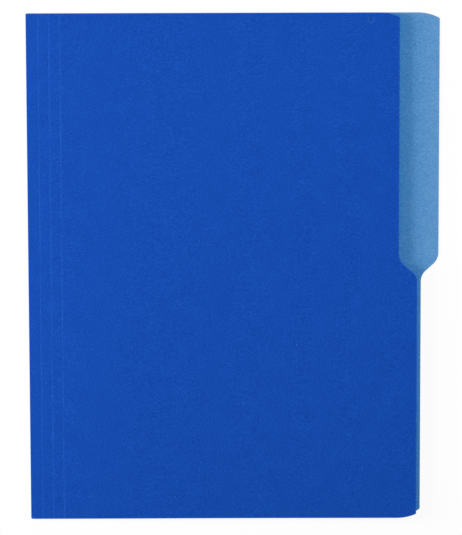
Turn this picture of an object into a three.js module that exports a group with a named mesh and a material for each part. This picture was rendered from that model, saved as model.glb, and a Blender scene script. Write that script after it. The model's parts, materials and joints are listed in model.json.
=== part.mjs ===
// A closed letter-size file folder with a half-cut tab, in millimetres.
// It is one scored sheet of two-tone card, drawn here as the panels between its creases, each of two plies.
// It lies on its back leaf: +X runs from the fold to the tab, +Y up the leaf and +Z out of the cover.
import * as THREE from "three";

// The card: a dark ply outside the folder and a light one inside, which also shows on the cut edges.
const outerPly = 0.1;
const innerPly = 0.2;
const outerColour = 0x184eb2;
const innerColour = 0x5892c8;

// The leaves. Widths are from the outside of the fold to the free edge.
const leafHeight = 298.45;
const backLeafWidth = 231;
const tabReach = 10.3; // how far the tab stands out of the back leaf
const coverWidth = 228.6;
const notchDepth = 10.8; // how far the cover is cut back to show the tab

// The steps in the free edges, where the tab and the notch end. The height is from the middle of the leaf.
const tabStep = { height: 0.2, lowerRadius: 8.5, upperRadius: 9.2, slope: 48 };
const notchStep = { height: 0.05, lowerRadius: 7, upperRadius: 9, slope: 49 };

// The corners. Each leaves the end of the leaf on a long arc and turns into the side on a short one.
const tabCorner = { longRadius: 28, shortRadius: 1.2, turn: 26.5 };
const notchCorner = { longRadius: 28, shortRadius: 0.4, turn: 25.5 };
const backLowerCorner = { longRadius: 28, shortRadius: 1, turn: 33 };
const coverLowerCorner = { longRadius: 28, shortRadius: 0.8, turn: 23 };

// The main fold and the score lines beside it.
const leafGap = 0.4; // between the inner faces of the leaves at the fold
const restAngle = 0.75; // degrees that the crease springs open by itself
const stripWidth = 6.35; // between neighbouring creases
const stripCount = 3;
const grooveHalfWidth = 0.25; // a score line is pressed through the outer ply only
const creaseClearance = 0.05; // between the bent card of the fold and the flat panels

const arcChord = 0.9; // longest straight piece of a drawn arc
const leastArcSteps = 3;
const foldSteps = 24; // flats round the bent card of the fold
const degree = Math.PI / 180;

const card = outerPly + innerPly;
const foldRadius = leafGap / 2 + card;
const lastScore = stripCount * stripWidth;
const halfHeight = leafHeight / 2;
const overallWidth = backLeafWidth + tabReach;

const outerMaterial = new THREE.MeshStandardMaterial({ color: outerColour, roughness: 0.8, metalness: 0 });
const innerMaterial = new THREE.MeshStandardMaterial({ color: innerColour, roughness: 0.85, metalness: 0 });

// Adds an arc to an outline, as short chords, from one angle to another.
function addArc(outline, x, y, radius, from, to) {
  const steps = Math.max(leastArcSteps, Math.ceil((radius * Math.abs(to - from)) / arcChord));
  for (let i = 0; i <= steps; i += 1) {
    const angle = from + ((to - from) * i) / steps;
    outline.push(new THREE.Vector2(x + radius * Math.cos(angle), y + radius * Math.sin(angle)));
  }
}

// Adds a corner at the top (end = 1) or bottom (end = -1) of a free edge at sideX. An outline runs
// anticlockwise, so a top corner goes from the side to the end, and a bottom one the other way.
function addCorner(outline, sideX, end, { longRadius, shortRadius, turn }) {
  const quarter = Math.PI / 2;
  const joint = quarter - turn * degree;
  const shortX = sideX - shortRadius;
  const longX = shortX - (longRadius - shortRadius) * Math.cos(joint);
  const longY = end * (halfHeight - longRadius);
  const shortY = longY + end * (longRadius - shortRadius) * Math.sin(joint);
  if (end > 0) {
    addArc(outline, shortX, shortY, shortRadius, 0, joint);
    outline.pop();
    addArc(outline, longX, longY, longRadius, joint, quarter);
  } else {
    addArc(outline, longX, longY, longRadius, -quarter, -joint);
    outline.pop();
    addArc(outline, shortX, shortY, shortRadius, -joint, 0);
  }
}

// Adds the step of a free edge from lowerX up to upperX: an arc, a straight slope and an arc back.
function addStep(outline, lowerX, upperX, { height, lowerRadius, upperRadius, slope }) {
  const angle = slope * degree;
  const acrossArcs = (lowerRadius + upperRadius) * (1 - Math.cos(angle));
  const upArcs = (lowerRadius + upperRadius) * Math.sin(angle);
  const rise = upArcs + (Math.abs(upperX - lowerX) - acrossArcs) / Math.tan(angle);
  const lowerY = height - rise / 2;
  const upperY = height + rise / 2;
  if (upperX > lowerX) {
    addArc(outline, lowerX + lowerRadius, lowerY, lowerRadius, Math.PI, Math.PI - angle);
    addArc(outline, upperX - upperRadius, upperY, upperRadius, -angle, 0);
  } else {
    addArc(outline, lowerX - lowerRadius, lowerY, lowerRadius, 0, angle);
    addArc(outline, upperX + upperRadius, upperY, upperRadius, Math.PI + angle, Math.PI);
  }
}

// A leaf's outline from its straight creased edge at creaseX to its stepped free edge.
function leafOutline(creaseX, lowerX, upperX, lowerCorner, step, upperCorner) {
  const outline = [new THREE.Vector2(creaseX, -halfHeight)];
  addCorner(outline, lowerX, -1, lowerCorner);
  addStep(outline, lowerX, upperX, step);
  addCorner(outline, upperX, 1, upperCorner);
  outline.push(new THREE.Vector2(creaseX, halfHeight));
  return outline;
}

// A flat strip's outline from x0 to x1, over the full height of the leaf.
function stripOutline(x0, x1) {
  return [
    new THREE.Vector2(x0, -halfHeight),
    new THREE.Vector2(x1, -halfHeight),
    new THREE.Vector2(x1, halfHeight),
    new THREE.Vector2(x0, halfHeight),
  ];
}

// An outline in X and Y given thickness from z0 to z1.
function plate(outline, z0, z1) {
  const geometry = new THREE.ExtrudeGeometry(new THREE.Shape(outline), { depth: 1, bevelEnabled: false });
  const position = geometry.attributes.position;
  for (let i = 0; i < position.count; i += 1) {
    position.setZ(i, position.getZ(i) > 0.5 ? z1 : z0);
  }
  return geometry;
}

// Draws in the upper rim of a plate by half a groove at a straight edge, towards +X (inward = 1) or -X (-1).
function bevelEdge(geometry, topZ, edgeX, inward) {
  const position = geometry.attributes.position;
  for (let i = 0; i < position.count; i += 1) {
    const onRim = position.getZ(i) === Math.fround(topZ) && position.getX(i) === Math.fround(edgeX);
    if (onRim) {
      position.setX(i, edgeX + inward * grooveHalfWidth);
    }
  }
}

// One ply of the bent card at the fold: a part ring round the fold's centre line, from radius r0 to r1.
// The cover end of the bend leans back by the rest angle, square to the cover.
function foldPly(r0, r1) {
  const coverEnd = (90 + restAngle) * degree;
  const backEnd = 270 * degree;
  const section = new THREE.Shape();
  section.absarc(0, 0, r1, coverEnd, backEnd, false);
  section.absarc(0, 0, r0, backEnd, coverEnd, true);
  section.closePath();
  const geometry = new THREE.ExtrudeGeometry(section, {
    depth: leafHeight,
    bevelEnabled: false,
    curveSegments: foldSteps,
  });
  geometry.translate(0, 0, -halfHeight);
  geometry.rotateX(Math.PI / 2);
  return geometry;
}

function addPiece(group, name, geometry, material) {
  const mesh = new THREE.Mesh(geometry, material);
  mesh.name = name;
  group.add(mesh);
}

// Both plies of a flat panel that turns with the cover. Its inner face lies half the leaf gap off the fold's
// centre line. A score line at lowX or highX, or at both, takes half its groove out of the outer ply.
function addCoverPanel(group, name, outline, { lowX, highX }) {
  const innerZ = leafGap / 2;
  const plyZ = innerZ + innerPly;
  const outerZ = innerZ + card;
  const outer = plate(outline, plyZ, outerZ);
  if (lowX !== undefined) {
    bevelEdge(outer, outerZ, lowX, 1);
  }
  if (highX !== undefined) {
    bevelEdge(outer, outerZ, highX, -1);
  }
  addPiece(group, name + "_inner_ply", plate(outline, innerZ, plyZ), innerMaterial);
  addPiece(group, name + "_outer_ply", outer, outerMaterial);
}

function backLeaf() {
  const group = new THREE.Group();
  const outline = leafOutline(
    creaseClearance,
    backLeafWidth - foldRadius,
    overallWidth - foldRadius,
    backLowerCorner,
    tabStep,
    tabCorner,
  );
  addPiece(group, "back_leaf_outer_ply", plate(outline, 0, outerPly), outerMaterial);
  addPiece(group, "back_leaf_inner_ply", plate(outline, outerPly, card), innerMaterial);
  return group;
}

function spineFold() {
  const group = new THREE.Group();
  addPiece(group, "spine_fold_inner_ply", foldPly(leafGap / 2, leafGap / 2 + innerPly), innerMaterial);
  addPiece(group, "spine_fold_outer_ply", foldPly(leafGap / 2 + innerPly, foldRadius), outerMaterial);
  return group;
}

// The cover's side of the folder: the strips between the creases, then the cover past the last of them.
function coverSide() {
  const group = new THREE.Group();
  for (let i = 1; i <= stripCount; i += 1) {
    const lowX = (i - 1) * stripWidth;
    const highX = i * stripWidth;
    const name = "spine_strip_" + i;
    if (i === 1) {
      addCoverPanel(group, name, stripOutline(creaseClearance, highX), { highX });
    } else {
      addCoverPanel(group, name, stripOutline(lowX, highX), { lowX, highX });
    }
  }
  const outline = leafOutline(
    lastScore,
    coverWidth - foldRadius,
    coverWidth - notchDepth - foldRadius,
    coverLowerCorner,
    notchStep,
    notchCorner,
  );
  addCoverPanel(group, "front_cover", outline, { lowX: lastScore });
  return group;
}

// Everything is placed from the fold's centre line. The origin is under the middle of the closed folder.
const folder = new THREE.Group();
const foldX = foldRadius - overallWidth / 2;

const back = backLeaf();
back.position.set(foldX, 0, 0);
folder.add(back);

const bend = spineFold();
bend.position.set(foldX, 0, foldRadius);
folder.add(bend);

const cover = coverSide();
cover.position.set(foldX, 0, foldRadius);
cover.rotation.y = -restAngle * degree;
folder.add(cover);

export default folder;
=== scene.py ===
import json
import math

import bpy
import numpy as np
from mathutils import Matrix, Vector


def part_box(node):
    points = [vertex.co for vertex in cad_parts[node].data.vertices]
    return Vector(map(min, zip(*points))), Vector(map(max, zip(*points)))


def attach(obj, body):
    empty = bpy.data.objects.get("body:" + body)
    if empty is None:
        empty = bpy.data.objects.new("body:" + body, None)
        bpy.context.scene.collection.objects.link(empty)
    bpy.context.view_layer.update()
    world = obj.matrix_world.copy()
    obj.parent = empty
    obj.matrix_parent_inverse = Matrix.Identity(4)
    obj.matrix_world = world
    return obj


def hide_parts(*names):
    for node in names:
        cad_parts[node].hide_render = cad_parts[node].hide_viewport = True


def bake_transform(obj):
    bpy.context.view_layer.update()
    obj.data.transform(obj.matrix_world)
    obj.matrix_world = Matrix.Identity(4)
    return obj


# A closed file folder of two-tone card, lying on a pale ground.
# Lengths are in millimetres here and are turned to metres where a mesh is made.
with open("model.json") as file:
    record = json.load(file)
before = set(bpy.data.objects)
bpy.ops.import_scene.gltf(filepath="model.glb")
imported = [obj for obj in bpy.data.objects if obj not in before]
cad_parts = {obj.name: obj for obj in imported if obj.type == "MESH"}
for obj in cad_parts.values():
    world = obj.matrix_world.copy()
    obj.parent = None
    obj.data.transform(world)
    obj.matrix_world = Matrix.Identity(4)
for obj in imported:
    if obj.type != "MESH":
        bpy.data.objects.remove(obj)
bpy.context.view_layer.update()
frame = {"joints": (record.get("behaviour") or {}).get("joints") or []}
metre = 1000.0


def boxOf(node):
    low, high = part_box(node)
    return np.array(low) * metre, np.array(high) * metre


def jointPlace(name):
    joint = next(joint for joint in frame["joints"] if joint["name"] == name)
    return np.array(joint["pos_m"]) * metre, joint["range_deg"]


# What the CAD frame says: the card, the fold, the last score line and the widths of the leaves.
outerLow, outerHigh = boxOf("back_leaf_outer_ply")
innerLow, innerHigh = boxOf("back_leaf_inner_ply")
_, coverHigh = boxOf("front_cover_outer_ply")
(foldX, _, foldZ), openRange = jointPlace("cover_open")
(scoreX, _, scoreZ), _ = jointPlace("score_3_bend")
restAngle = math.radians(180 + openRange[0])
outerPly = outerHigh[2] - outerLow[2]
innerPly = innerHigh[2] - innerLow[2]
card = outerPly + innerPly
halfGap = foldZ - card
halfHeight = innerHigh[1]
panelStart = innerLow[0] - foldX  # the flat card starts this far from the fold's centre line
lastScore = math.hypot(scoreX - foldX, scoreZ - foldZ - halfGap)
stripCount = 3
stripWidth = lastScore / stripCount
tabWidth = innerHigh[0] - foldX
coverReach = (coverHigh[0] - foldX + foldZ * math.sin(restAngle)) / math.cos(restAngle)

tabReach = 10.3  # how far the tab stands out of the back leaf
notchDepth = 10.8  # how far the cover is cut back to show the tab

# The die-cut free edges: a corner is a long arc and a short one, a step is two arcs with a slope between.
backLeaf = {
    "lowerX": tabWidth - tabReach,
    "upperX": tabWidth,
    "step": {"height": 0.2, "lowerRadius": 8.5, "upperRadius": 9.2, "slope": 48},
    "lowerCorner": {"longRadius": 28, "shortRadius": 1.0, "turn": 33},
    "upperCorner": {"longRadius": 28, "shortRadius": 1.2, "turn": 26.5},
    "fadeStart": -4,  # painted shadow of the cover on the card that stands out of it: it fades out from here ...
    "fadeEnd": 20,  # ... to here, measured from the cover's free edge
}
cover = {
    "lowerX": coverReach,
    "upperX": coverReach - notchDepth,
    "step": {"height": 0.05, "lowerRadius": 7, "upperRadius": 9, "slope": 49},
    "lowerCorner": {"longRadius": 28, "shortRadius": 0.8, "turn": 23},
    "upperCorner": {"longRadius": 28, "shortRadius": 0.4, "turn": 25.5},
    "sag": 0.45,  # how far its middle hangs below a straight line
    "ripple": 0.12,  # depth of the slow waves along the free edge
    "rippleLength": 150,
    "ripplePhase": 1.1,
}
score = {
    "halfWidth": 0.75,
    "outerDepth": 0.055,
    "innerDepth": 0.03,
    "unevenness": 0.6,  # share of the depth that comes and goes along the line, as the mean of these waves:
    "waves": ((17, 2.1), (6.1, 1.3)),  # mm along the line for each radian, and radians from line to line
    "creaseHalfWidth": 0.3,  # the stretch at the last score line that bends when the spine squares up
}
fold = {
    "splitAngle": 265,  # in degrees from +X, where its two stretches meet
    "lowerColumns": 5,
    "upperColumns": 21,
    "cornerRadius": 1.0,  # its two ends are worn round
    "cornerReach": 2.0,  # rows that are nearer to an end than this are drawn in there
}
pressMark = {
    "u": 200.7,  # from the fold
    "y": 145.35,
    "radius": 1.55,
    "stretch": 1.25,  # height over width
    "halfWidth": 0.36,
    "depth": 0.055,
    "gapAngle": 75,  # the ring is open here, in degrees from +X
    "gapHalfAngle": 36,
    "gapBlend": 0.3,  # radians in which the ring fades out there
    "bruiseShift": -0.6,  # the painted shade inside the ring, a dark streak, from its middle
    "bruiseWidth": 0.5,
    "bruiseHeight": 1.8,
    "bruise": 0.85,
}
wear = {
    "edgeWidth": 0.45,
    "edge": 0.45,
    "fold": 0.4,
    "score": 0.28,
    "mark": 0.5,
}
grid = {
    "step": 4.5,  # between rows and columns on the flats
    "leafStep": 9,  # between columns of the back leaf, which is flat
    "least": 0.03,  # between any two rows or columns
    "leastShare": 0.001,  # and between two columns of the band, as a share of it
    "endInsets": (0, 0.2, 0.5, 1, 2),  # rows beside both ends of the card, where its cut edge is worn
    "foldInsets": (0.4, 1.0),  # columns of the back leaf beside the fold
    "edgeInsets": (0.2, 0.6, 1.2, 2.4),  # columns beside the free edge
    "edgeBand": 34,  # width of the band of columns that follows the free edge
    "edgeColumns": 13,
    "arcRows": 18,
    "shortArcRows": 6,
    "stepRows": 36,
    "stepReach": 0.6,  # half the height of the rows at a step, over the sum of its radii
    "stripColumns": 5,
    "scoreColumns": 6,
    "scoreReach": 0.6,  # width of the close columns of the cover beside the last score line
    "scoreReachColumns": 5,
    "creaseColumns": 13,
    "markReach": 3,  # half the width of the close grid at the press mark
    "markLines": 25,
    "sharpAngle": 40,  # degrees between faces that are shaded apart
}


# The free edge's distance from the fold at each height. On an arc it is the centre plus or minus the root of
# radius squared less height squared, and on the slope it runs straight from one arc to the other.
def freeEdge(y, leaf):
    step = leaf["step"]
    lowerX, upperX = leaf["lowerX"], leaf["upperX"]
    lowerRadius, upperRadius = step["lowerRadius"], step["upperRadius"]
    side = np.sign(upperX - lowerX)
    slope = math.radians(step["slope"])
    radii = lowerRadius + upperRadius
    across = abs(upperX - lowerX) - radii * (1 - math.cos(slope))
    rise = radii * math.sin(slope) + across / math.tan(slope)
    lowerY, upperY = step["height"] - rise / 2, step["height"] + rise / 2
    lowerEnd = lowerY + lowerRadius * math.sin(slope)
    upperEnd = upperY - upperRadius * math.sin(slope)

    def arcShare(radius, offset):
        return radius - np.sqrt(np.maximum(radius**2 - offset**2, 0))

    lowerArc = lowerX + side * arcShare(lowerRadius, np.clip(y, lowerY, lowerEnd) - lowerY)
    upperArc = upperX - side * arcShare(upperRadius, upperY - np.clip(y, upperEnd, upperY))
    share = np.clip((y - lowerEnd) / (upperEnd - lowerEnd), 0, 1)
    edge = lowerArc + (upperArc - lowerArc) * share
    edge = np.where(y <= lowerEnd, lowerArc, np.where(y >= upperEnd, upperArc, edge))
    for end, sideX, corner in ((-1, lowerX, leaf["lowerCorner"]), (1, upperX, leaf["upperCorner"])):
        longRadius, shortRadius = corner["longRadius"], corner["shortRadius"]
        joint = math.radians(90 - corner["turn"])
        shortX = sideX - shortRadius
        longX = shortX - (longRadius - shortRadius) * math.cos(joint)
        longY = halfHeight - longRadius
        shortY = longY + (longRadius - shortRadius) * math.sin(joint)
        up = end * y
        onShort = shortX + np.sqrt(np.maximum(shortRadius**2 - (up - shortY) ** 2, 0))
        onLong = longX + np.sqrt(np.maximum(longRadius**2 - (up - longY) ** 2, 0))
        edge = np.where(up > shortY, onShort, edge)
        edge = np.where(up > shortY + shortRadius * math.sin(joint), onLong, edge)
    return edge


def spaced(low, high, step):
    return np.linspace(low, high, max(2, math.ceil((high - low) / step) + 1))


# Sorted values, each at least a little after the one before.
def merged(values, least=grid["least"]):
    values = np.unique(np.concatenate(values))
    keep = np.concatenate([[True], np.diff(values) > least])
    keep[-1] = True
    return values[keep]


# Close rows beside both ends of the card, where its cut edge is worn.
def endRows():
    inset = np.array(grid["endInsets"])
    return np.concatenate([inset - halfHeight, halfHeight - inset])


# Heights of the rows of a strip that runs the full height of the folder.
def stripRows():
    return merged([spaced(-halfHeight, halfHeight, grid["step"]), endRows()])


# Heights of the rows of a leaf: even on the straights, and by equal angles on the arcs of the corners.
def leafRows(leaf, extra=()):
    rows = [stripRows(), np.array(list(extra), float)]
    for end, corner in ((-1, leaf["lowerCorner"]), (1, leaf["upperCorner"])):
        turn = math.radians(corner["turn"])
        angles = np.linspace(math.pi / 2 - turn, math.pi / 2, grid["arcRows"])
        longArc = halfHeight - corner["longRadius"] * (1 - np.sin(angles))
        shortTop = longArc[0]
        shortArc = shortTop - corner["shortRadius"] * math.cos(turn) * np.linspace(0, 1, grid["shortArcRows"])
        rows += [end * longArc, end * shortArc]
    step = leaf["step"]
    reach = (step["lowerRadius"] + step["upperRadius"]) * grid["stepReach"]
    rows.append(np.linspace(step["height"] - reach, step["height"] + reach, grid["stepRows"]))
    rows = merged(rows)
    return rows[np.abs(rows) <= halfHeight]


# Distance from each point to the nearest cut edge of the card.
def cutDistance(u, y, edge):
    return np.minimum(edge - u, halfHeight - np.abs(y))


def edgeWear(distance):
    return wear["edge"] * np.exp(-((distance / wear["edgeWidth"]) ** 2))


# A thin closed shell between two grids of points of one size, lower and upper. Rows run along +Y and
# columns away from the fold, so the upper grid faces out of the card. Four strips of quads close the sides.
def sheetPiece(name, lower, upper, attributes, material):
    rows, columns = upper.shape[:2]
    index = np.arange(rows * columns).reshape(rows, columns)
    top, bottom = index + rows * columns, index

    def quadsOf(a, b, c, d):
        return np.stack([a, b, c, d], axis=-1).reshape(-1, 4)

    quads = np.concatenate([
        quadsOf(top[:-1, :-1], top[:-1, 1:], top[1:, 1:], top[1:, :-1]),
        quadsOf(bottom[:-1, :-1], bottom[1:, :-1], bottom[1:, 1:], bottom[:-1, 1:]),
        quadsOf(bottom[0, :-1], bottom[0, 1:], top[0, 1:], top[0, :-1]),
        quadsOf(bottom[-1, 1:], bottom[-1, :-1], top[-1, :-1], top[-1, 1:]),
        quadsOf(bottom[1:, 0], bottom[:-1, 0], top[:-1, 0], top[1:, 0]),
        quadsOf(bottom[:-1, -1], bottom[1:, -1], top[1:, -1], top[:-1, -1]),
    ])
    vertices = np.concatenate([lower.reshape(-1, 3), upper.reshape(-1, 3)]) / metre
    mesh = bpy.data.meshes.new(name)
    mesh.vertices.add(len(vertices))
    mesh.vertices.foreach_set("co", vertices.astype(np.float32).ravel())
    mesh.loops.add(quads.size)
    mesh.loops.foreach_set("vertex_index", quads.astype(np.int32).ravel())
    mesh.polygons.add(len(quads))
    mesh.polygons.foreach_set("loop_start", np.arange(0, quads.size, 4, dtype=np.int32))
    mesh.update(calc_edges=True)
    mesh.polygons.foreach_set("use_smooth", np.ones(len(quads), bool))
    mesh.set_sharp_from_angle(angle=math.radians(grid["sharpAngle"]))
    for key, values in attributes.items():
        attribute = mesh.attributes.new(key, "FLOAT", "POINT")
        attribute.data.foreach_set("value", np.concatenate([values.ravel()] * 2).astype(np.float32))
    mesh.materials.append(material)
    piece = bpy.data.objects.new(name, mesh)
    bpy.context.scene.collection.objects.link(piece)
    return piece


# Where a point of each side of the folder lies: u across from the fold, y along it, w out of the card.
# The back leaf is flat: x is the fold's place plus u, and z is w.
def onBack(u, y, w):
    return np.stack([foldX + u, y, w + 0 * u], axis=-1)


# The cover's side leans back by the rest angle about the fold's centre line, which turns u and w by it.
def onCover(u, y, w):
    sine, cosine = math.sin(restAngle), math.cos(restAngle)
    return np.stack([foldX + u * cosine - w * sine, y, foldZ + u * sine + w * cosine], axis=-1)


# The bead goes round the fold's centre line: x and z are the radius times cosine and sine of the angle.
def onFold(angle, y, radius):
    return np.stack([foldX + radius * np.cos(angle), y, foldZ + radius * np.sin(angle)], axis=-1)


# Share of a score line's depth: a squared cosine bump at every strip width from the fold, which comes and
# goes along the line as the mean of two slow waves.
def scoreShape(u, y):
    line = np.clip(np.round(u / stripWidth), 1, stripCount)
    share = np.clip(np.abs(u - line * stripWidth) / score["halfWidth"], 0, 1)
    waves = sum(0.5 + 0.5 * np.sin(y / length + turn * line) for length, turn in score["waves"])
    return np.cos(share * math.pi / 2) ** 2 * (1 - score["unevenness"] * waves / len(score["waves"]))


# Share of the press mark: a bell across a ring, left out over the angles where the ring is open.
def markShape(u, y):
    du, dy = u - pressMark["u"], (y - pressMark["y"]) / pressMark["stretch"]
    turn = np.angle(np.exp(1j * (np.arctan2(dy, du) - math.radians(pressMark["gapAngle"]))))
    closed = np.clip((np.abs(turn) - math.radians(pressMark["gapHalfAngle"])) / pressMark["gapBlend"], 0, 1)
    off = (np.hypot(du, dy) - pressMark["radius"]) / pressMark["halfWidth"]
    return np.exp(-(off**2)) * closed


# Share of the painted shade inside the mark, a dark streak: a bell across it, with a flatter one along it.
def paintedMarkShadeShape(u, y):
    across = (u - pressMark["u"] - pressMark["bruiseShift"]) / pressMark["bruiseWidth"]
    along = (y - pressMark["y"]) / pressMark["bruiseHeight"]
    return pressMark["bruise"] * np.exp(-(across**2) - along**4)


# A share that starts and ends gently: three of its square less two of its cube.
def smooth(share):
    return share**2 * (3 - 2 * share)


# How far the cover hangs inwards: a squared half wave across it, and slow waves that grow to the free edge.
def coverSag(u, y):
    start = lastScore + score["creaseHalfWidth"]
    share = np.clip((u - start) / (coverReach - start), 0, 1)
    along = 0.5 + 0.5 * np.sin(2 * math.pi * y / cover["rippleLength"] + cover["ripplePhase"])
    return cover["sag"] * np.sin(math.pi * share) ** 2 + cover["ripple"] * along * smooth(share)


# Heights on the cover's side of the card's inner face, of the joint of its plies and of its outer face.
def coverPlies(u, y):
    pressed, sag = scoreShape(u, y), coverSag(u, y)
    inner = halfGap - score["innerDepth"] * pressed - sag
    joint = halfGap + innerPly - (score["innerDepth"] + score["outerDepth"]) / 2 * pressed - sag
    outer = halfGap + card - score["outerDepth"] * pressed - sag - pressMark["depth"] * markShape(u, y)
    return inner, joint, outer


# A hex colour as the eye sees it, turned to the share of light that it gives back.
def linear(colour):
    parts = np.array([int(colour[i : i + 2], 16) for i in (1, 3, 5)]) / 255
    values = np.where(parts <= 0.04045, parts / 12.92, ((parts + 0.055) / 1.055) ** 2.4)
    return (*values.tolist(), 1.0)


# A node with its settings, and its inputs set to values or linked to other nodes' outputs.
def addNode(tree, kind, settings=None, inputs=None):
    node = tree.nodes.new(kind)
    for name, value in (settings or {}).items():
        setattr(node, name, value)
    for name, value in (inputs or {}).items():
        if isinstance(value, bpy.types.NodeSocket):
            tree.links.new(value, node.inputs[name])
        else:
            node.inputs[name].default_value = value
    return node


def newTree(name):
    material = bpy.data.materials.new(name)
    material.use_nodes = True
    material.node_tree.nodes.clear()
    return material, material.node_tree


# Uncoated card, dyed in the pulp and pressed between felts. To the eye it is matt, with a fine mottle of
# short fibres that lie along X, cloudy where the pulp is thicker, and paler where handling has rubbed it.
outerLooks = {
    "name": "dyedCardRoyalBlue",
    "dark": "#033696",
    "mean": "#0f4aaf",
    "pale": "#1d5fc6",
    "worn": "#3272ca",
    # the paler colour of the tab beyond the cover's painted shadow, which keeps the deeper mean colour
    "faded": "#1c56bb",
    "fibre": "#4f86d6",
}
innerLooks = {
    "name": "dyedCardLightBlue",
    "dark": "#2c7bc0",
    "mean": "#4392da",
    "pale": "#70b1e8",
    "worn": "#78b0e2",
    # the paler colour of the tab beyond the cover's painted shadow, which keeps the deeper mean colour
    "faded": "#6097cc",
    "fibre": "#9cc4ea",
}
cardLooks = {
    "speckSpacing": 62.0,  # mm between pale loose fibres
    "speckRadius": 0.36,
    "rubGain": 1.6,  # the mottle times this ...
    "rubShift": -0.1,  # ... and moved by this is the share of the wear that shows
    "relief": 0.6,
    "reliefDepth": 0.00006,  # metres, as the bump node wants it
    "roughness": 0.88,
    "ior": 1.47,  # cellulose
    "specular": 0.1,
}
# The patterns in the card, with the mm between their lumps along X, Y and Z, their turn about Z in radians
# and how far each moves the shade. The mottle and the fibres are drawn a little coarser than real, to show.
patterns = {
    "mottle": {"lengths": (0.6, 0.6, 0.6), "turn": 0.0, "detail": 2.0, "roughness": 0.6, "share": 1.0},
    "fibres": {"lengths": (1.25, 0.5, 0.5), "turn": 0.05, "detail": 1.0, "roughness": 0.55, "share": 1.8},
    "crossed": {"lengths": (0.5, 1.25, 0.5), "turn": 0.35, "detail": 1.0, "roughness": 0.55, "share": 0.3},
    "cloud": {"lengths": (9.0, 9.0, 9.0), "turn": 0.0, "detail": 0.0, "roughness": 0.55, "share": 0.2},
}


def cardMaterial(looks):
    material, tree = newTree(looks["name"])
    coords = addNode(tree, "ShaderNodeTexCoord").outputs["Object"]

    def millimetres(lengths, turn=0.0):
        scale = [metre / length for length in lengths]
        settings = {"Vector": coords, "Scale": scale, "Rotation": (0, 0, turn)}
        return addNode(tree, "ShaderNodeMapping", {}, settings).outputs["Vector"]

    def noise(pattern):
        inputs = {"Vector": millimetres(pattern["lengths"], pattern["turn"]), "Scale": 1.0}
        inputs |= {"Detail": pattern["detail"], "Roughness": pattern["roughness"]}
        return addNode(tree, "ShaderNodeTexNoise", {}, inputs).outputs["Fac"]

    def maths(operation, a, b, clamp=False):
        settings = {"operation": operation, "use_clamp": clamp}
        return addNode(tree, "ShaderNodeMath", settings, {0: a, 1: b}).outputs[0]

    def blend(share, a, b):
        return addNode(tree, "ShaderNodeMix", {"data_type": "RGBA"}, {0: share, 6: a, 7: b}).outputs[2]

    def attribute(name):
        return addNode(tree, "ShaderNodeAttribute", {"attribute_name": name}).outputs["Fac"]

    # the card's shade: each pattern less its mean, times its share
    drawn = {name: noise(pattern) for name, pattern in patterns.items()}
    shade = 0.0
    for name, pattern in patterns.items():
        shade = maths("ADD", shade, maths("MULTIPLY", maths("SUBTRACT", drawn[name], 0.5), pattern["share"]))
    # painted shadow of the cover on the tab: the deeper mean colour near the cover's free edge, paler beyond
    # it
    base = blend(attribute("fade"), linear(looks["mean"]), linear(looks["faded"]))
    colour = blend(maths("MULTIPLY", shade, 1.0, True), base, linear(looks["pale"]))
    colour = blend(maths("MULTIPLY", shade, -1.0, True), colour, linear(looks["dark"]))
    # painted shade inside the press mark, blended towards the dark colour
    colour = blend(attribute("bruise"), colour, linear(looks["dark"]))

    # pale loose fibres, one here and there
    cells = {"voronoi_dimensions": "2D", "feature": "F1"}
    place = {"Vector": millimetres([cardLooks["speckSpacing"]] * 3), "Scale": 1.0}
    spots = addNode(tree, "ShaderNodeTexVoronoi", cells, place)
    radius = cardLooks["speckRadius"] / cardLooks["speckSpacing"]
    speck = maths("SUBTRACT", 1.0, maths("DIVIDE", spots.outputs["Distance"], radius), True)
    colour = blend(speck, colour, linear(looks["fibre"]))

    # rubbed places, broken up by the mottle
    rubbed = maths("ADD", maths("MULTIPLY", drawn["mottle"], cardLooks["rubGain"]), cardLooks["rubShift"])
    colour = blend(maths("MULTIPLY", attribute("wear"), rubbed, True), colour, linear(looks["worn"]))

    relief = {
        "Height": maths("ADD", drawn["mottle"], drawn["fibres"]),
        "Strength": cardLooks["relief"],
        "Distance": cardLooks["reliefDepth"],
    }
    bump = addNode(tree, "ShaderNodeBump", {}, relief)
    finish = {
        "Base Color": colour,
        "Roughness": cardLooks["roughness"],
        "IOR": cardLooks["ior"],
        "Specular IOR Level": cardLooks["specular"],
        "Normal": bump.outputs["Normal"],
    }
    surface = addNode(tree, "ShaderNodeBsdfPrincipled", {}, finish)
    addNode(tree, "ShaderNodeOutputMaterial", {}, {"Surface": surface.outputs[0]})
    return material


outerCard, innerCard = cardMaterial(outerLooks), cardMaterial(innerLooks)
print("materials made")


# Both plies of one stretch of card, between three grids of points: inner face, joint and outer face.
def addPlies(name, faces, attributes):
    inner, joint, outer = faces
    outerPiece = sheetPiece(name + "OuterPly", joint, outer, attributes, outerCard)
    innerPiece = sheetPiece(name + "InnerPly", inner, joint, attributes, innerCard)
    return (outerPiece, "outer_ply"), (innerPiece, "inner_ply")


# Heights drawn in at the fold's two ends, where the corner is worn to a quarter circle: by its radius less
# the root of radius squared less the square of how far the point lies before the circle's centre.
def wornCorners(u, y):
    radius = fold["cornerRadius"]
    before = np.clip(radius - halfGap - card - u, 0, radius)
    inset = radius - np.sqrt(radius**2 - before**2)
    return y - np.sign(y) * inset * np.clip((np.abs(y) - halfHeight) / fold["cornerReach"] + 1, 0, 1)


# Columns of a leaf: the first are the same on every row, and the rest share out what is left to its edge.
def leafColumns(first, shares, edge):
    start = first[-1]
    follow = start + (edge[:, None] - start) * shares[1:]
    return np.concatenate([np.broadcast_to(first, (len(edge), len(first))), follow], axis=1)


# Where those columns lie, as shares of the band: evenly, and closer beside the free edge.
def edgeShares(extra=()):
    close = 1 - np.array(grid["edgeInsets"]) / grid["edgeBand"]
    even = np.linspace(0, 1, grid["edgeColumns"])
    return merged([even, close, np.array(list(extra), float)], grid["leastShare"])


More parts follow.
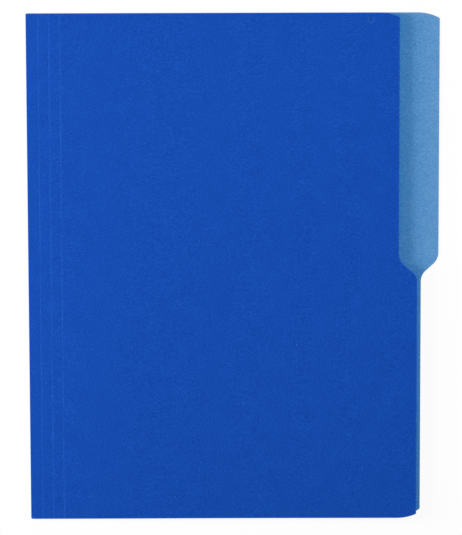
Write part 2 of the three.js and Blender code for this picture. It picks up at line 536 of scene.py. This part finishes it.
# The flat leaf with the tab. Its outer face is the lower one.
def addBackLeaf():
    y = leafRows(backLeaf)
    edge = freeEdge(y, backLeaf)
    first = spaced(panelStart, backLeaf["lowerX"] - grid["edgeBand"], grid["leafStep"])
    first = merged([first, panelStart + np.array(grid["foldInsets"])])
    u = leafColumns(first, edgeShares(), edge)
    yy = np.broadcast_to(y[:, None], u.shape)
    # painted shadow of the cover on the tab: 0 from a little under the cover's free edge, rising smoothly to
    # 1 out beyond it
    past = u - freeEdge(yy, cover) - backLeaf["fadeStart"]
    past = np.clip(past / (backLeaf["fadeEnd"] - backLeaf["fadeStart"]), 0, 1)
    attributes = {"wear": edgeWear(cutDistance(u, yy, edge[:, None])), "fade": smooth(past)}
    yy = wornCorners(u, yy)
    lower, joint, upper = onBack(u, yy, 0.0), onBack(u, yy, outerPly), onBack(u, yy, card)
    outer = sheetPiece("backLeafOuterPly", lower, joint, attributes, outerCard)
    inner = sheetPiece("backLeafInnerPly", joint, upper, attributes, innerCard)
    for piece, node in ((outer, "back_leaf_outer_ply"), (inner, "back_leaf_inner_ply")):
        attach(piece, "back_leaf")
        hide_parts(node)


# A stretch of the bead of card at the fold. Each ply is a part ring about the fold's centre line, between the
# given angles.
def addFoldStretch(name, angles):
    angle, yy = np.meshgrid(angles, stripRows())
    rub = np.maximum(wear["fold"] * np.cos(angle) ** 2, edgeWear(halfHeight - np.abs(yy)))
    yy = wornCorners((halfGap + card) * np.cos(angle), yy)
    faces = [onFold(angle, yy, radius) for radius in (halfGap, halfGap + innerPly, halfGap + card)]
    for piece, ply in addPlies(name, faces, {"wear": rub}):
        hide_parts("spine_fold_" + ply)
        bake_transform(piece)


# The bead runs from the back leaf's edge round to the cover's, in a lower stretch and an upper one.
def addFold():
    split = math.radians(fold["splitAngle"])
    lower = np.linspace(1.5 * math.pi, split, fold["lowerColumns"])
    upper = np.linspace(split, math.pi / 2 + restAngle, fold["upperColumns"])
    addFoldStretch("foldLower", lower)
    addFoldStretch("foldUpper", upper)


# Both plies of a stretch of the cover's side, rubbed at its cut edges, its score lines and the press mark,
# with painted shade inside the mark.
def addCoverStretch(name, u, y, edge):
    rub = np.maximum(edgeWear(cutDistance(u, y, edge)), wear["score"] * scoreShape(u, y))
    rub = np.maximum(rub, wear["mark"] * markShape(u, y))
    faces = [onCover(u, y, w) for w in coverPlies(u, y)]
    return addPlies(name, faces, {"wear": rub, "bruise": paintedMarkShadeShape(u, y)})


# The strips between the fold and the last score line, and the narrow crease at that line.
def addSpine():
    y = stripRows()
    half = score["creaseHalfWidth"]
    close = np.linspace(0, score["halfWidth"], grid["scoreColumns"])
    for strip in range(1, stripCount + 1):
        start, end = max((strip - 1) * stripWidth, panelStart), strip * stripWidth
        if strip == stripCount:
            end -= half
        even = np.linspace(start, end, grid["stripColumns"])
        u, yy = np.meshgrid(merged([even, start + close, end - close]), y)
        for piece, ply in addCoverStretch("spineStrip" + str(strip), u, wornCorners(u, yy), np.inf):
            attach(piece, "spine")
            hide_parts("spine_strip_" + str(strip) + "_" + ply)
    u = np.linspace(lastScore - half, lastScore + half, grid["creaseColumns"])
    start, end = onCover(u[[0, -1]], np.zeros(2), halfGap) / metre
    for piece, ply in addCoverStretch("thirdScoreCrease", *np.meshgrid(u, y), np.inf):
        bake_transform(piece)


# The cover past the last score line, out to its free edge with the notch.
def addCover():
    fine = np.linspace(-grid["markReach"], grid["markReach"], grid["markLines"])
    y = leafRows(cover, pressMark["y"] + fine)
    edge = freeEdge(y, cover)
    start = lastScore + score["creaseHalfWidth"]
    split = cover["upperX"] - grid["edgeBand"]
    close = np.linspace(0, grid["scoreReach"], grid["scoreReachColumns"])
    first = merged([spaced(start, split, grid["step"]), start + close])
    markShares = (pressMark["u"] + fine - split) / (cover["upperX"] - split)
    u = leafColumns(first, edgeShares(markShares[markShares < 1]), edge)
    yy = np.broadcast_to(y[:, None], u.shape)
    for piece, ply in addCoverStretch("frontCover", u, yy, edge[:, None]):
        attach(piece, "front_cover")
        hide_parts("front_cover_" + ply)


addBackLeaf()
addFold()
addSpine()
addCover()
print("folder made")

# The ground and the light. The ground is near white to the camera and keeps a faint shadow.
ground = {"size": 8.0, "drop": 0.0003, "colour": "#fdfdfd", "ownWhite": 0.9}
world = {"strength": 0.17, "colour": "#ffffff"}
lamps = {
    # name: place in metres, width, height, power in watts
    "leftSoftBox": ((-0.96, 0.09, 0.32), 0.33, 0.4, 13.9),
    "topSoftBox": ((0.40, 0.23, 0.68), 0.5, 0.5, 3.5),
}
camera = {
    "target": (-0.00154, 0.00042, 0.002),
    "distance": 1.35177,
    "tilt": 5.62,  # degrees that the camera stands towards the top of the folder
    "pan": 0.679,
    "roll": 0.166,
    "lens": 154.766,
    "sensorWidth": 36.0,
    "clipStart": 0.05,
    "clipEnd": 50,
}


# 1 for the rays that see the ground as white: straight, mirrored or through glass.
def whiteRays(tree):
    path = addNode(tree, "ShaderNodeLightPath").outputs
    seen = path["Is Camera Ray"]
    for name in ("Is Glossy Ray", "Is Transmission Ray"):
        seen = addNode(tree, "ShaderNodeMath", {"operation": "MAXIMUM"}, {0: seen, 1: path[name]}).outputs[0]
    return seen


def addGround():
    half = ground["size"] / 2
    corners = [(x * half, y * half, -ground["drop"]) for x, y in ((-1, -1), (1, -1), (1, 1), (-1, 1))]
    mesh = bpy.data.meshes.new("ground")
    mesh.from_pydata(corners, [], [(0, 1, 2, 3)])
    material, tree = newTree("paleGround")
    paper = addNode(tree, "ShaderNodeBsdfDiffuse", {}, {"Color": linear(ground["colour"])})
    glow = addNode(tree, "ShaderNodeEmission", {}, {"Color": (1, 1, 1, 1), "Strength": 1.0})
    product = {0: whiteRays(tree), 1: ground["ownWhite"]}
    share = addNode(tree, "ShaderNodeMath", {"operation": "MULTIPLY"}, product)
    parts = {0: share.outputs[0], 1: paper.outputs[0], 2: glow.outputs[0]}
    mix = addNode(tree, "ShaderNodeMixShader", {}, parts)
    addNode(tree, "ShaderNodeOutputMaterial", {}, {"Surface": mix.outputs[0]})
    mesh.materials.append(material)
    piece = bpy.data.objects.new("ground", mesh)
    bpy.context.scene.collection.objects.link(piece)


def addWorld():
    backdrop = bpy.data.worlds.new("paleRoom")
    bpy.context.scene.world = backdrop
    backdrop.use_nodes = True
    tree = backdrop.node_tree
    tree.nodes.clear()
    choice = {0: whiteRays(tree), 2: world["strength"], 3: 1.0}
    strength = addNode(tree, "ShaderNodeMix", {"data_type": "FLOAT"}, choice)
    light = {"Color": linear(world["colour"]), "Strength": strength.outputs[0]}
    background = addNode(tree, "ShaderNodeBackground", {}, light)
    addNode(tree, "ShaderNodeOutputWorld", {}, {"Surface": background.outputs[0]})


# Soft boxes, each turned to face the middle of the folder.
def addLamps():
    for name, (place, width, height, power) in lamps.items():
        data = bpy.data.lights.new(name, "AREA")
        data.shape = "RECTANGLE"
        data.size = width
        data.size_y = height
        data.energy = power
        lamp = bpy.data.objects.new(name, data)
        lamp.location = place
        lamp.rotation_mode = "QUATERNION"
        lamp.rotation_quaternion = (-Vector(place)).to_track_quat("-Z", "Y")
        bpy.context.scene.collection.objects.link(lamp)


# Looks down at the target from the distance, leaned by tilt towards +Y and by pan towards -X, and rolled.
def addCamera():
    tilt, pan, roll = (math.radians(camera[key]) for key in ("tilt", "pan", "roll"))
    look = np.array([math.tan(pan), -math.tan(tilt), -1.0])
    look /= np.linalg.norm(look)
    side = np.cross(look, [0, 1, 0])
    side /= np.linalg.norm(side)
    up = np.cross(side, look)
    turn = np.eye(4)
    turn[:3, 0] = side * math.cos(roll) - up * math.sin(roll)
    turn[:3, 1] = up * math.cos(roll) + side * math.sin(roll)
    turn[:3, 2] = -look
    turn[:3, 3] = np.array(camera["target"]) - look * camera["distance"]
    data = bpy.data.cameras.new("camera")
    data.lens = camera["lens"]
    data.sensor_width = camera["sensorWidth"]
    data.clip_start = camera["clipStart"]
    data.clip_end = camera["clipEnd"]
    piece = bpy.data.objects.new("camera", data)
    piece.matrix_world = Matrix(turn.tolist())
    bpy.context.scene.collection.objects.link(piece)
    bpy.context.scene.camera = piece


addGround()
addWorld()
addLamps()
addCamera()
bpy.context.scene.view_settings.view_transform = "Standard"
print("ground, light and camera made")
